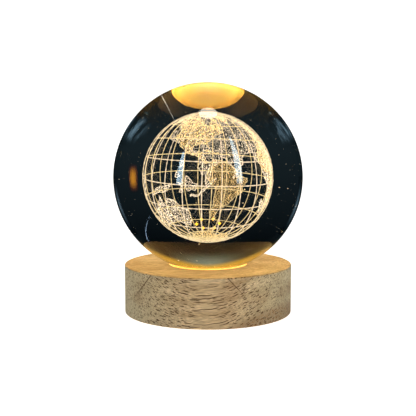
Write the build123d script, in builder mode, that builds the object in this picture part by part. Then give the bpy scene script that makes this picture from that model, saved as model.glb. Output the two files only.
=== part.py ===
"""Crystal ball lamp: a glass ball with a globe engraved inside, on a lit wooden base.

The lamp stands on its feet at z = 0 with its axis on Z. Its front faces -Y, and the power socket
and the push button are in the back of the base, at +Y. Lengths are in mm, angles in degrees.
"""
import os
from math import cos, pi, radians, sin, sqrt, tan

from build123d import *

# Driving dimensions

ball_d = 80.0            # solid ball of optical glass
ball_sink = 3.2          # the ball's lowest point lies this far below the base's top face
base_d = 71.0            # turned wooden base
base_h = 21.0            # floor to the base's top face
edge_break = 0.35        # sanded edge of the wood
cut_run = 1.0            # every cut runs on this far past the face it opens

# Engraved globe, concentric with the ball

globe_d = 36.3           # sphere that the lines are engraved on
line_w = 0.22            # width of an engraved line
line_t = 0.22            # radial depth of the engraving
land_inset = 0.1         # the land lies this far inside the lines, so that the two never meet
meridian_step = 15.0
parallel_step = 18.0
front_longitude = -79.6  # longitude that faces the front
globe_back = 11.4        # the globe's north pole leans back by this
globe_side = 1.6         # and to the right by this

# Seat of the ball

ball_gap = 0.2           # ball to seat ring
ring_t = 1.5             # height of the seat ring
ring_lip = 1.1           # ring outside the contact circle
ring_foot = 0.7          # ring inside the contact circle
ring_proud = 0.2         # ring above the wood
ring_fit = 0.15          # ring to its groove

# LED board, hung under the top of the base

led_gap = 4.5            # ball's lowest point to the top of the LEDs
led_count = 6
led_ring_r = 10.0        # centres of the LEDs
led_first = 4.0          # angle of the first LED, from +X
led_w = 5.0
led_h = 1.6
led_cup_d = 4.0
led_cup_floor_d = 3.0
led_cup_deep = 0.9
led_corner = 0.6         # chamfered polarity corner
board_fit = 0.5          # board to the pocket's wall
board_t = 1.6
resistor_count = 3
resistor_ring_r = 3.6
resistor_first = 34.0    # angle of the first resistor, half way between two LEDs
resistor_l = 3.2
resistor_w = 1.6
resistor_h = 0.6
board_screw_count = 3
board_screw_first = 90.0
board_screw_d = 2.0
board_screw_l = 5.0      # under the head
board_screw_head_d = 3.8
board_screw_head_h = 1.1
screw_hole_fit = 0.15    # board hole round a screw
pilot_fit = 0.03         # wood round a screw's thread
pilot_spare = 0.8        # pilot hole beyond a screw's tip
slot_w = 0.5             # arms of the cross in a screw's head
slot_deep = 0.5

# Pocket under the base and its cover

cover_ledge = 6.3        # wood that the cover is screwed to, between its edge and the pocket
pocket_back_w = 27.5     # the pocket is milled out to the rear wall over this width
pocket_corner = 1.0
rear_wall = 5.6          # wood between the milled flat at the back and the pocket
rear_flat_deep = 2.9     # depth of the flat behind the base's round side
rear_flat_h = 9.0
rear_flat_corner = 1.0
cover_rim = 4.5          # wood left outside the cover
cover_fit = 0.3
cover_t = 2.0
cover_screw_count = 3
cover_screw_first = 30.0
cover_screw_d = 2.5
cover_screw_l = 8.0
cover_screw_head_d = 4.8
cover_screw_cone = 90.0  # full angle of the countersunk head
foot_count = 4
foot_first = 45.0
foot_d = 8.0
foot_t = 1.0
foot_proud = 0.5         # foot below the cover
foot_inset = 12.0        # foot centre inside the cover's edge
foot_fit = 0.15
foot_edge = 0.2

# Socket and switch, side by side in the rear wall

port_x = 7.5             # half the distance between socket and button
pad_min = 0.6            # least height of the cover's pads under them
shell_w = 8.94
shell_h = 3.2
shell_l = 9.0
shell_wall = 0.3
shell_fit = 0.15         # wood round the shell
insulator_back = 2.2     # solid rear part of the socket's insulator
tongue_w = 6.7
tongue_t = 0.7
tongue_short = 0.9       # tongue behind the mouth
contact_count = 6
contact_w = 0.35
contact_pitch = 0.95
contact_t = 0.08
contact_short = 1.0      # contact behind the tongue's tip
socket_board_w = 11.0
socket_board_l = 11.6
socket_board_t = 1.2
socket_board_fit = 0.3   # board to the rear wall
pad_land = 0.5           # cover pad inside the board's outline

switch_w = 7.0
switch_l = 8.0
switch_h = 6.0
switch_front_t = 1.2
switch_back_t = 1.2
switch_side_t = 1.0
stem_w = 2.6
stem_fit = 0.15
flange_w = 3.6
flange_t = 1.0
flange_gap = 0.1         # flange to the stop it rests on
button_travel = 1.2
button_d = 6.4
button_proud = 1.4       # cap beyond the milled flat
button_skirt = 0.6       # cap to the switch's face, beyond the travel
button_fit = 0.25        # cap to the hole in the wood
button_edge = 0.5
button_socket_deep = 2.2
spring_wire_d = 0.3
spring_d = 2.4           # mean diameter of the coil
spring_end_gap = 0.05    # spring to the faces it stands on
terminal_count = 3
terminal_w = 0.9
terminal_t = 0.4
terminal_l = 2.6
terminal_pitch = 2.2

# Leads

wire_d = 1.2
wire_lift = 2.9          # a lead rises this far from the socket's board before it turns
wire_pad_in = 1.8        # solder pads inside the end of the socket's board
wire_pad_x = 2.5         # and this far each side of its middle
wire_reach = 4.0         # a lead runs straight this far from a switch terminal
wire_board_y = 6.5       # leads meet the LED board this far behind its centre
wire_bend_share = 0.45   # of the shorter run at a bend, taken up by its arc

# Derived places

ball_r = ball_d / 2
ball_z = base_h - ball_sink + ball_r
base_r = base_d / 2
seat_r = sqrt(ball_r**2 - (ball_r - ball_sink) ** 2)
well_r = seat_r - ring_foot
ring_r = seat_r + ring_lip
globe_r = globe_d / 2
land_r = globe_r - line_t - land_inset
ring_floor_z = base_h - ring_t
led_top_z = base_h - ball_sink - led_gap
board_top_z = led_top_z - led_h
board_bottom_z = board_top_z - board_t
wood_z = foot_proud
cover_top_z = wood_z + cover_t
cover_r = base_r - cover_rim - cover_fit
cover_screw_r = cover_r - cover_ledge / 2
pocket_r = cover_r - cover_ledge
board_r = pocket_r - board_fit
board_screw_r = (well_r + board_r) / 2
flat_y = base_r - rear_flat_deep
pocket_y = flat_y - rear_wall
port_z = cover_top_z + pad_min + max(shell_h / 2 + socket_board_t, switch_h / 2)
socket_board_z = port_z - shell_h / 2 - socket_board_t
socket_board_y = pocket_y - socket_board_fit - socket_board_l
switch_y = pocket_y - switch_l
foot_r = cover_r - foot_inset
cap_back_y = pocket_y + button_travel + button_skirt
cap_front_y = flat_y + button_proud


def around(count, radius, first):
    """Places on a circle: x, y and the angle of each."""
    step = 360 / count
    angles = [first + i * step for i in range(count)]
    return [(radius * cos(radians(a)), radius * sin(radians(a)), a) for a in angles]


def finish(piece, label):
    """Name a finished piece and write it."""
    piece.label = label
    export_step(piece, f"parts/{label}.step")


os.makedirs("parts", exist_ok=True)

# Glass ball

with BuildPart(Plane.XY.offset(ball_z)) as crystal_ball:
    Sphere(ball_r)
finish(crystal_ball.part, "crystal_ball")

# Engraved globe. globe_plane is its equator, with the front longitude facing -Y.

globe_plane = Plane(Location((0, 0, ball_z), (-globe_back, globe_side, 0)))


def on_globe(lon, lat):
    """Unit vector of a longitude and a latitude, in the frame of the lamp."""
    east, north = radians(lon - front_longitude), radians(lat)
    local = Vector(cos(north) * sin(east), -cos(north) * cos(east), sin(north))
    return globe_plane.from_local_coords(local) - globe_plane.origin


def sphere_axis(lon, lat):
    """Place for a sphere whose own poles lie at a longitude and a latitude, clear of the engraving."""
    pole = globe_plane.to_local_coords(globe_plane.origin + on_globe(lon, lat))
    return Location(Plane((0, 0, 0), z_dir=pole))


# Lines: one gore of the grid, a meridian with its stretch of each parallel, repeated round the axis

parallel_count = round(90 / parallel_step) - 1
latitudes = [i * parallel_step for i in range(-parallel_count, parallel_count + 1)]
cage_r = globe_r + cut_run
gore_half_w = cage_r * tan(radians(meridian_step / 2))

with BuildPart(globe_plane) as gore:
    Box(cage_r, line_w, 2 * cage_r, align=(Align.MIN, Align.CENTER, Align.CENTER))
    with Locations(*[(0, 0, globe_r * sin(radians(lat))) for lat in latitudes]):
        Cylinder(cage_r, line_w)
    with Locations(sphere_axis(front_longitude, 0)):
        Sphere(globe_r, mode=Mode.INTERSECT)
        Sphere(globe_r - line_t, mode=Mode.SUBTRACT)
    with BuildSketch(globe_plane.offset(-cage_r)):
        Polygon((0, 0), (cage_r, -gore_half_w), (cage_r, gore_half_w), align=None)
    extrude(amount=2 * cage_r, mode=Mode.INTERSECT)

globe_axis = Axis(globe_plane.origin, globe_plane.z_dir)
gore_turns = [i * meridian_step - front_longitude for i in range(round(360 / meridian_step))]
engraved_graticule = Compound([gore.part.rotate(globe_axis, turn) for turn in gore_turns])
finish(engraved_graticule, "engraved_graticule")

# Outlines of the land, as longitude and latitude in degrees, from the middle (first pair)

land_outlines = {
    "north_america": [(-100, 48),
        (-168, 66), (-156, 71), (-128, 70), (-115, 68), (-96, 68), (-94, 60), (-82, 55),
        (-79, 51.5), (-77, 62), (-70, 61), (-64, 59), (-56, 52), (-66, 49), (-60, 46),
        (-65, 44), (-70, 43), (-74, 40), (-76, 35), (-81, 31), (-80, 25.5), (-83, 29),
        (-90, 29.5), (-97, 27), (-97.5, 22), (-94, 18), (-90.5, 21), (-87, 21), (-88, 16),
        (-83.5, 15), (-83.5, 10.5), (-79.5, 9.5), (-77.5, 8), (-80, 7.5), (-83.5, 8.5),
        (-87.5, 13), (-94, 16), (-105, 20), (-112.5, 31), (-110, 23.5), (-115, 30),
        (-118, 34), (-121, 35), (-124, 40), (-124, 47), (-130, 54), (-137, 59), (-147, 61),
        (-152, 59), (-163, 55), (-158, 58.5), (-165, 62)],
    "greenland": [(-42, 72),
        (-45, 60), (-52, 64.5), (-54, 70), (-68, 76.5), (-60, 82), (-32, 83.5), (-18, 80),
        (-22, 71), (-32, 68), (-41, 64)],
    "south_america": [(-60, -18),
        (-77.5, 8), (-72, 12), (-62, 10.5), (-52, 5), (-50, 0), (-44, -2.5), (-35, -6),
        (-35, -9), (-39, -13), (-39, -18), (-41, -22), (-48, -26), (-48.5, -28.5),
        (-53, -34), (-57, -35), (-57, -38), (-62, -39), (-65, -43), (-66, -47), (-69, -51),
        (-67, -55), (-74, -52), (-75, -46), (-73, -40), (-71.5, -30), (-70.5, -18.5),
        (-76, -14), (-81, -6), (-80, -2), (-78.5, 2)],
    "africa": [(17, 3),
        (-6, 35.5), (10, 37), (11, 33.5), (20, 31), (32, 31), (37, 21), (43, 12), (51, 12),
        (47, 4), (41, -2), (39, -7), (40.5, -14), (35, -20), (35.5, -24), (32.5, -27),
        (27, -33.5), (19, -34.5), (15, -27), (12, -17), (13.5, -9), (9, -1), (9.5, 4),
        (5, 4.5), (-4, 5), (-8, 4.5), (-13, 9), (-17, 14.5), (-17, 21), (-12, 28),
        (-9.5, 31)],
    "eurasia": [(75, 47),
        (-9, 37), (-9, 43.5), (-1.5, 43.5), (-4.5, 48.5), (2, 51), (8, 54), (8.5, 57),
        (11, 54.5), (19, 54.5), (22, 59), (29, 60), (22, 60.5), (22, 63.5), (25, 65.5),
        (18, 61.5), (16, 56.5), (13, 55.5), (10.5, 59), (5.5, 59), (5, 62), (13, 67),
        (25, 71), (41, 67), (34, 66.5), (38, 64.5), (44, 66.5), (54, 68.5), (68, 68.5),
        (73, 72), (81, 73), (105, 77.5), (113, 73.5), (130, 71), (160, 70), (180, 69),
        (190, 66), (179, 62.5), (164, 60), (163, 56), (157, 51), (156, 58), (160, 61),
        (155, 59.5), (142, 59), (135, 54.5), (141, 53), (140, 48), (132, 43), (127.5, 40),
        (129.5, 36), (126.5, 34.5), (125, 39), (118, 38.5), (122, 37), (119.5, 35),
        (122, 31), (120, 26), (114, 22.5), (108.5, 21.5), (106, 19), (109, 13), (105, 9),
        (100.5, 13.5), (103.5, 1.5), (101, 3), (98, 8.5), (98, 16), (94, 16.5),
        (91, 22.5), (87, 21.5), (80.5, 15.5), (80, 11), (77.5, 8), (73, 17), (72, 21.5),
        (67, 24.5), (57, 26), (50, 30), (48, 30), (52, 24.5), (56.5, 25.5), (59.5, 22.5),
        (54, 17), (45, 13), (43, 13), (39, 21), (35, 28), (34, 31.5), (36, 36.5),
        (28, 36.5), (26.5, 40), (23.5, 37), (21.5, 37.5), (19.5, 41.5), (13.5, 45.5),
        (18.5, 40), (16, 38), (12, 42), (8.5, 44.5), (3, 43), (0, 39.5), (-2, 37)],
    "australia": [(134, -25),
        (114, -22), (122, -18), (126, -14), (131, -12), (136, -12), (135.5, -15),
        (140, -17.5), (142.5, -11), (146, -19), (153, -26), (150, -37.5), (144, -38.5),
        (138, -35), (131, -31.5), (124, -33), (116, -35), (115, -30)],
    "antarctica": [(0, -90),
        (0, -70), (30, -69), (55, -66), (90, -66.5), (115, -66.5), (145, -67.5),
        (170, -72), (165, -78), (-160, -78.5), (-145, -76), (-110, -74.5), (-75, -72.5),
        (-60, -64), (-60, -75), (-35, -78), (-15, -72.5)],
    "baffin": [(-70, 67),
        (-80, 73.5), (-68, 69), (-62, 66), (-66, 62), (-73, 65), (-78, 70)],
    "victoria": [(-110, 71), (-118, 71.5), (-105, 73), (-102, 69), (-115, 69)],
    "ellesmere": [(-80, 80), (-88, 77), (-92, 81), (-65, 83), (-72, 79), (-80, 76)],
    "cuba": [(-80, 22), (-84.5, 22), (-80, 23.2), (-74.5, 20.2), (-78, 20)],
    "hispaniola": [(-71, 19), (-74, 19.8), (-69, 19.5), (-69, 18), (-74, 18)],
    "britain": [(-2, 54), (-5, 50), (1.5, 51.5), (-2, 57.5), (-5, 58.5), (-4.5, 54)],
    "ireland": [(-8, 53), (-10, 52), (-6.5, 52), (-6, 55), (-9.5, 54)],
    "iceland": [(-19, 65), (-24, 65.3), (-16, 66.3), (-14, 65), (-18.5, 63.5)],
    "svalbard": [(18, 79), (12, 79.5), (24, 80), (18, 77)],
    "novaya_zemlya": [(58, 73.5), (53, 71), (58, 75.8), (68, 77), (58, 72.5)],
    "madagascar": [(47, -19), (49.5, -12), (50, -16), (47, -25), (43.5, -23), (44.5, -16.5)],
    "sri_lanka": [(80.8, 7.5), (80, 9.5), (81.8, 7.2), (80.2, 6)],
    "sumatra": [(101, 0), (95.5, 5.5), (98.5, 3.8), (104, -2), (105.5, -5.8), (101, -2.5)],
    "java": [(110, -7), (105.5, -6.2), (114.5, -7.3), (114, -8.7), (106, -7.7)],
    "borneo": [(114, 1),
        (109, 1.5), (113, 3.3), (117, 7), (118.5, 2), (116, -4), (110.5, -3)],
    "sulawesi": [(121, -2), (120, 1), (125, 1.5), (121.5, -1), (122.5, -5), (119.5, -5)],
    "new_guinea": [(140, -5),
        (131, -1), (137, -1.8), (144, -4), (150.5, -10.5), (143, -9), (138, -8), (133, -4)],
    "luzon": [(121.5, 16), (120.5, 18.5), (122, 18), (124, 13), (120.5, 14)],
    "mindanao": [(124.5, 7.8), (122, 7.5), (126, 9.7), (126, 6), (124, 6.3)],
    "honshu": [(138, 36.5),
        (130.3, 32), (135.5, 33.8), (140.5, 35.5), (141.8, 40), (140, 41), (137, 37),
        (131, 34)],
    "hokkaido": [(143, 43.3), (140, 41.8), (145.3, 43.3), (141.8, 45.4)],
    "tasmania": [(146.5, -42), (144.8, -41), (148.2, -41), (147, -43.5)],
    "new_zealand_north": [(176, -38.5),
        (173, -35), (178, -38), (175.5, -41.3), (173.8, -39.4)],
    "new_zealand_south": [(170.5, -43.8), (172.8, -40.6), (174, -42), (170.5, -46), (166.7, -46)],
}

# Each outline is a pyramid from the globe's centre, kept where it crosses the land's shell.

sea_axis = (-35, 45)     # longitude and latitude at sea, and so is the point opposite
near_share = 0.4         # the pyramid's small end, as a share of the land's radius
far_share = 1.15         # and its large end


def rays(outline):
    """The plane square to an outline's middle, and its points there at unit distance."""
    middle = on_globe(*outline[0])
    facing = Plane(globe_plane.origin, z_dir=middle)
    flat = []
    for lon, lat in outline[1:]:
        ray = on_globe(lon, lat)
        ahead = ray.dot(facing.z_dir)
        flat.append((ray.dot(facing.x_dir) / ahead, ray.dot(facing.y_dir) / ahead))
    return facing, flat


at_sea = globe_plane.location * sphere_axis(*sea_axis)
patches = []
for outline in land_outlines.values():
    facing, flat = rays(outline)
    with BuildPart() as patch:
        for share in (near_share, far_share):
            distance = land_r * share
            with BuildSketch(facing.offset(distance)):
                Polygon(*[(x * distance, y * distance) for x, y in flat], align=None)
        loft(ruled=True)
        with Locations(at_sea):
            Sphere(land_r, mode=Mode.INTERSECT)
            Sphere(land_r - line_t, mode=Mode.SUBTRACT)
    patches.append(patch.part)

with BuildPart() as engraved_land:
    add(patches)
finish(engraved_land.part, "engraved_land")

# Seat ring, dished to the ball

with BuildPart() as seat_ring:
    with BuildSketch(Plane.XY.offset(ring_floor_z)):
        Circle(ring_r - ring_fit)
        Circle(well_r, mode=Mode.SUBTRACT)
    extrude(amount=ring_t + ring_proud)
    with Locations((0, 0, ball_z)):
        Sphere(ball_r + ball_gap, mode=Mode.SUBTRACT)
finish(seat_ring.part, "seat_ring")

# Wooden base, turned and then milled from below and behind


def rear(y):
    """A plane across the back of the base, facing +Y, level with the socket and the button."""
    return Plane(origin=(0, y, port_z), x_dir=(1, 0, 0), z_dir=(0, 1, 0))


def beside(y, x):
    """The same plane with its origin moved along X, on the axis of a port."""
    return Plane(origin=(x, y, port_z), x_dir=(1, 0, 0), z_dir=(0, 1, 0))


board_screws_at = around(board_screw_count, board_screw_r, board_screw_first)
cover_screws_at = around(cover_screw_count, cover_screw_r, cover_screw_first)
rear_through = rear_wall + rear_flat_deep + cut_run

with BuildPart() as wooden_base:
    with BuildSketch(Plane.XY.offset(wood_z)):
        Circle(base_r)
    extrude(amount=base_h - wood_z)
    fillet(wooden_base.edges().filter_by(GeomType.CIRCLE), radius=edge_break)
    with BuildSketch(Plane.XY.offset(ring_floor_z)):
        Circle(ring_r)
    extrude(amount=ring_t + cut_run, mode=Mode.SUBTRACT)
    with BuildSketch(Plane.XY.offset(board_top_z)):
        Circle(well_r)
    extrude(amount=base_h - board_top_z, mode=Mode.SUBTRACT)
    with BuildSketch(Plane.XY.offset(board_top_z)):
        Circle(pocket_r)
        with Locations((0, pocket_y / 2)):
            RectangleRounded(pocket_back_w, pocket_y, pocket_corner)
    extrude(amount=wood_z - board_top_z - cut_run, mode=Mode.SUBTRACT)
    with BuildSketch(Plane.XY.offset(cover_top_z)):
        Circle(cover_r + cover_fit)
    extrude(amount=-cover_t - cut_run, mode=Mode.SUBTRACT)
    with BuildSketch(rear(flat_y)):
        RectangleRounded(base_d, rear_flat_h, rear_flat_corner)
    extrude(amount=rear_flat_deep + cut_run, mode=Mode.SUBTRACT)
    with BuildSketch(beside(flat_y, -port_x)):
        SlotOverall(shell_w + 2 * shell_fit, shell_h + 2 * shell_fit)
    extrude(amount=-rear_through, mode=Mode.SUBTRACT)
    with BuildSketch(beside(flat_y, port_x)):
        Circle(button_d / 2 + button_fit)
    extrude(amount=-rear_through, mode=Mode.SUBTRACT)
    with BuildSketch(Plane.XY.offset(board_top_z)):
        with Locations(*[(x, y) for x, y, a in board_screws_at]):
            Circle(board_screw_d / 2 + pilot_fit)
    extrude(amount=board_screw_l - board_t + pilot_spare, mode=Mode.SUBTRACT)
    with BuildSketch(Plane.XY.offset(cover_top_z)):
        with Locations(*[(x, y) for x, y, a in cover_screws_at]):
            Circle(cover_screw_d / 2 + pilot_fit)
    extrude(amount=cover_screw_l - cover_t + pilot_spare, mode=Mode.SUBTRACT)
finish(wooden_base.part, "wooden_base")

# LED board with its LEDs, resistors and screws

with BuildPart() as led_board:
    with BuildSketch(Plane.XY.offset(board_bottom_z)):
        Circle(board_r)
        with Locations(*[(x, y) for x, y, a in board_screws_at]):
            Circle(board_screw_d / 2 + screw_hole_fit, mode=Mode.SUBTRACT)
    extrude(amount=board_t)
finish(led_board.part, "led_board")

for number, (x, y, angle) in enumerate(around(led_count, led_ring_r, led_first), 1):
    seat = Plane(Location((x, y, board_top_z), (0, 0, angle)))
    with BuildPart() as led_housing:
        with BuildSketch(seat):
            Rectangle(led_w, led_w)
        extrude(amount=led_h)
        chamfer(led_housing.edges().filter_by(Axis.Z).sort_by(Axis.X)[-1], length=led_corner)
        with BuildSketch(seat.offset(led_h)):
            Circle(led_cup_d / 2)
        with BuildSketch(seat.offset(led_h - led_cup_deep)):
            Circle(led_cup_floor_d / 2)
        loft(mode=Mode.SUBTRACT)
    finish(led_housing.part, f"led_housing_{number}")

    with BuildPart() as led_phosphor:
        with BuildSketch(seat.offset(led_h)):
            Circle(led_cup_d / 2)
        with BuildSketch(seat.offset(led_h - led_cup_deep)):
            Circle(led_cup_floor_d / 2)
        loft()
    finish(led_phosphor.part, f"led_phosphor_{number}")

for number, (x, y, angle) in enumerate(around(resistor_count, resistor_ring_r, resistor_first), 1):
    with BuildPart() as resistor:
        with BuildSketch(Plane(Location((x, y, board_top_z), (0, 0, angle)))):
            Rectangle(resistor_w, resistor_l)
        extrude(amount=resistor_h)
    finish(resistor.part, f"resistor_{number}")

with BuildPart() as board_screws:
    with BuildSketch(Plane.XY.offset(board_bottom_z)):
        with Locations(*[(x, y) for x, y, a in board_screws_at]):
            Circle(board_screw_d / 2)
    extrude(amount=board_screw_l)
    with BuildSketch(Plane.XY.offset(board_bottom_z)):
        with Locations(*[(x, y) for x, y, a in board_screws_at]):
            Circle(board_screw_head_d / 2)
    extrude(amount=-board_screw_head_h)
    with BuildSketch(Plane.XY.offset(board_bottom_z - board_screw_head_h)):
        with Locations(*[(x, y) for x, y, a in board_screws_at]):
            Rectangle(board_screw_d, slot_w)
            Rectangle(slot_w, board_screw_d)
    extrude(amount=slot_deep, mode=Mode.SUBTRACT)
finish(board_screws.part, "board_screws")

# Bottom cover with pads under the socket's board and the switch, its screws and feet

cone_h = (cover_screw_head_d - cover_screw_d) / 2 / tan(radians(cover_screw_cone / 2))
feet_at = around(foot_count, foot_r, foot_first)

with BuildPart() as bottom_cover:
    with BuildSketch(Plane.XY.offset(wood_z)):
        Circle(cover_r)
    extrude(amount=cover_t)
    with BuildSketch(Plane.XY.offset(cover_top_z)):
        with Locations((-port_x, socket_board_y + socket_board_l / 2)):
            Rectangle(socket_board_w - 2 * pad_land, socket_board_l - 2 * pad_land)
    extrude(amount=socket_board_z - cover_top_z)
    with BuildSketch(Plane.XY.offset(cover_top_z)):
        with Locations((port_x, switch_y + switch_l / 2)):
            Rectangle(switch_w - 2 * pad_land, switch_l - 2 * pad_land)
    extrude(amount=port_z - switch_h / 2 - cover_top_z)
    with BuildSketch(Plane.XY.offset(wood_z)):
        with Locations(*[(x, y) for x, y, a in feet_at]):
            Circle(foot_d / 2 + foot_fit)
    extrude(amount=foot_t - foot_proud, mode=Mode.SUBTRACT)
    for x, y, angle in cover_screws_at:
        with Locations(Location((x, y, wood_z), (180, 0, 0))):
            CounterSinkHole(
                cover_screw_d / 2 + screw_hole_fit,
                cover_screw_head_d / 2 + screw_hole_fit,
                counter_sink_angle=cover_screw_cone,
            )
finish(bottom_cover.part, "bottom_cover")

with BuildPart() as cover_screws:
    for x, y, angle in cover_screws_at:
        with BuildSketch(Plane(origin=(x, y, wood_z))):
            Circle(cover_screw_d / 2)
        extrude(amount=cover_screw_l)
        with BuildSketch(Plane(origin=(x, y, wood_z))):
            Circle(cover_screw_head_d / 2)
        with BuildSketch(Plane(origin=(x, y, wood_z + cone_h))):
            Circle(cover_screw_d / 2)
        loft()
        with BuildSketch(Plane(origin=(x, y, wood_z))):
            Rectangle(cover_screw_d, slot_w)
            Rectangle(slot_w, cover_screw_d)
        extrude(amount=slot_deep, mode=Mode.SUBTRACT)
finish(cover_screws.part, "cover_screws")

for number, (x, y, angle) in enumerate(feet_at, 1):
    with BuildPart() as foot:
        with BuildSketch(Plane(origin=(x, y, 0))):
            Circle(foot_d / 2)
        extrude(amount=foot_t)
        fillet(foot.edges().group_by(Axis.Z)[0], radius=foot_edge)
    finish(foot.part, f"foot_{number}")

# Power socket: drawn shell, insulator with its tongue, contacts and board

shell_y = flat_y - shell_l
tongue_y = shell_y + insulator_back
tongue_l = shell_l - insulator_back - tongue_short

with BuildPart() as socket_shell:
    with BuildSketch(beside(shell_y, -port_x)):
        SlotOverall(shell_w, shell_h)
        SlotOverall(shell_w - 2 * shell_wall, shell_h - 2 * shell_wall, mode=Mode.SUBTRACT)
    extrude(amount=shell_l)
finish(socket_shell.part, "socket_shell")

with BuildPart() as socket_insulator:
    with BuildSketch(beside(shell_y, -port_x)):
        SlotOverall(shell_w - 2 * shell_wall, shell_h - 2 * shell_wall)
    extrude(amount=insulator_back)
    with BuildSketch(beside(tongue_y, -port_x)):
        Rectangle(tongue_w, tongue_t)
    extrude(amount=tongue_l)
finish(socket_insulator.part, "socket_insulator")

with BuildPart() as socket_contacts:
    with BuildSketch(beside(tongue_y, -port_x)):
        for side in (-1, 1):
            with Locations((0, side * (tongue_t + contact_t) / 2)):
                with GridLocations(contact_pitch, 0, contact_count, 1):
                    Rectangle(contact_w, contact_t)
    extrude(amount=tongue_l - contact_short)
finish(socket_contacts.part, "socket_contacts")

with BuildPart() as socket_board:
    with BuildSketch(Plane.XY.offset(socket_board_z)):
        with Locations((-port_x, socket_board_y + socket_board_l / 2)):
            Rectangle(socket_board_w, socket_board_l)
    extrude(amount=socket_board_t)
finish(socket_board.part, "socket_board")

# Push switch: hollow body, plunger with its stop flange, spring, cap and terminals

cavity_y = switch_y + switch_back_t
cavity_l = switch_l - switch_back_t - switch_front_t
flange_y = cavity_y + cavity_l - flange_gap - flange_t

with BuildPart() as switch_body:
    with BuildSketch(beside(switch_y, port_x)):
        Rectangle(switch_w, switch_h)
    extrude(amount=switch_l)
    with BuildSketch(beside(cavity_y, port_x)):
        Rectangle(switch_w - 2 * switch_side_t, switch_h - 2 * switch_side_t)
    extrude(amount=cavity_l, mode=Mode.SUBTRACT)
    with BuildSketch(beside(cavity_y, port_x)):
        Rectangle(stem_w + 2 * stem_fit, stem_w + 2 * stem_fit)
    extrude(amount=switch_l, mode=Mode.SUBTRACT)
finish(switch_body.part, "switch_body")

with BuildPart() as switch_plunger:
    with BuildSketch(beside(flange_y, port_x)):
        Rectangle(flange_w, flange_w)
    extrude(amount=flange_t)
    with BuildSketch(beside(flange_y, port_x)):
        Rectangle(stem_w, stem_w)
    extrude(amount=cap_back_y + button_socket_deep - flange_y)
finish(switch_plunger.part, "switch_plunger")

with BuildPart() as button_cap:
    with BuildSketch(beside(cap_back_y, port_x)):
        Circle(button_d / 2)
    extrude(amount=cap_front_y - cap_back_y)
    fillet(button_cap.edges().group_by(Axis.Y)[-1], radius=button_edge)
    with BuildSketch(beside(cap_back_y, port_x)):
        Rectangle(stem_w, stem_w)
    extrude(amount=button_socket_deep, mode=Mode.SUBTRACT)
finish(button_cap.part, "button_cap")

with BuildPart() as switch_spring:
    with BuildSketch(beside(cavity_y + spring_end_gap, port_x)):
        Circle((spring_d + spring_wire_d) / 2)
        Circle((spring_d - spring_wire_d) / 2, mode=Mode.SUBTRACT)
    extrude(amount=flange_y - cavity_y - 2 * spring_end_gap)
finish(switch_spring.part, "switch_spring")

with BuildPart() as switch_terminals:
    with BuildSketch(beside(switch_y, port_x)):
        with GridLocations(terminal_pitch, 0, terminal_count, 1):
            Rectangle(terminal_w, terminal_t)
    extrude(amount=-terminal_l)
finish(switch_terminals.part, "switch_terminals")

# Leads, straight runs joined by arcs


def lead(name, points):
    """A round lead along a route. Each arc takes the same share of the shorter run at its bend."""
    corners = [Vector(*p) for p in points]
    runs = [b - a for a, b in zip(corners, corners[1:])]
    radii = []
    for before, after in zip(runs, runs[1:]):
        half_turn = radians(before.get_angle(after)) / 2
        radii.append(wire_bend_share * min(before.length, after.length) / tan(half_turn))
    with BuildPart() as wire:
        with BuildLine() as route:
            FilletPolyline(*corners, radius=radii)
        with BuildSketch(Plane(origin=corners[0], z_dir=runs[0])):
            Circle(wire_d / 2)
        sweep(path=route.wire())
    finish(wire.part, name)
    tube = pi * (wire_d / 2) ** 2 * route.wire().length
    print(name, "radii", [round(r, 2) for r in radii], "fill", round(wire.part.volume / tube, 4))


pad_y = socket_board_y + wire_pad_in
pad_z = socket_board_z + socket_board_t
lift_z = pad_z + wire_lift
return_x = -port_x - wire_pad_x
supply_x = -port_x + wire_pad_x
supply_end_x = port_x - terminal_pitch
switched_x = port_x + terminal_pitch
terminal_y = switch_y - terminal_l

lead("wire_return", [
    (return_x, pad_y, pad_z),
    (return_x, pad_y, lift_z),
    (return_x, wire_board_y, lift_z),
    (return_x, wire_board_y, board_bottom_z),
])
lead("wire_supply", [
    (supply_x, pad_y, pad_z),
    (supply_x, pad_y, lift_z),
    (supply_x, terminal_y - wire_reach, lift_z),
    (supply_end_x, terminal_y - wire_reach, port_z),
    (supply_end_x, terminal_y, port_z),
])
lead("wire_switched", [
    (switched_x, terminal_y, port_z),
    (switched_x, wire_board_y, port_z),
    (switched_x, wire_board_y, board_bottom_z),
])
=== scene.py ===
"""Crystal ball lamp: the looks of a glass ball with a globe engraved inside, on a lit wooden base.

Everything is in metres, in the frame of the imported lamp: it stands on its feet at z = 0, its axis
is Z and its front faces -Y. Sizes that belong to the lamp come from that frame.
"""
from math import cos, pi, radians, sin

import bpy
import numpy as np
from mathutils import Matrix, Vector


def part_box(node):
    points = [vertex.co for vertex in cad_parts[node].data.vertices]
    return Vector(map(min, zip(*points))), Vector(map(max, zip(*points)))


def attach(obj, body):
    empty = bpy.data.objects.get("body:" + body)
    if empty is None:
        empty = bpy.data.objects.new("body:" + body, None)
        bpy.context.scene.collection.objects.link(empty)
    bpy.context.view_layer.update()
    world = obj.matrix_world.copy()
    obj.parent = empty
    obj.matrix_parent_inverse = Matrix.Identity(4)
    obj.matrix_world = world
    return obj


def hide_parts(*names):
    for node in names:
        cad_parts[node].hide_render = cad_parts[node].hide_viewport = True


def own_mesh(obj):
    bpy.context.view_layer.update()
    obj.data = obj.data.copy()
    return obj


bl_info = {
    "name": "Crystal Ball Lamp",
    "version": (1, 0, 0),
    "blender": (4, 5, 0),
    "location": "View3D > Sidebar > Lamp",
    "description": "Dresses the packed crystal ball lamp and lights it in a small studio",
    "category": "Add Mesh",
}

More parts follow.
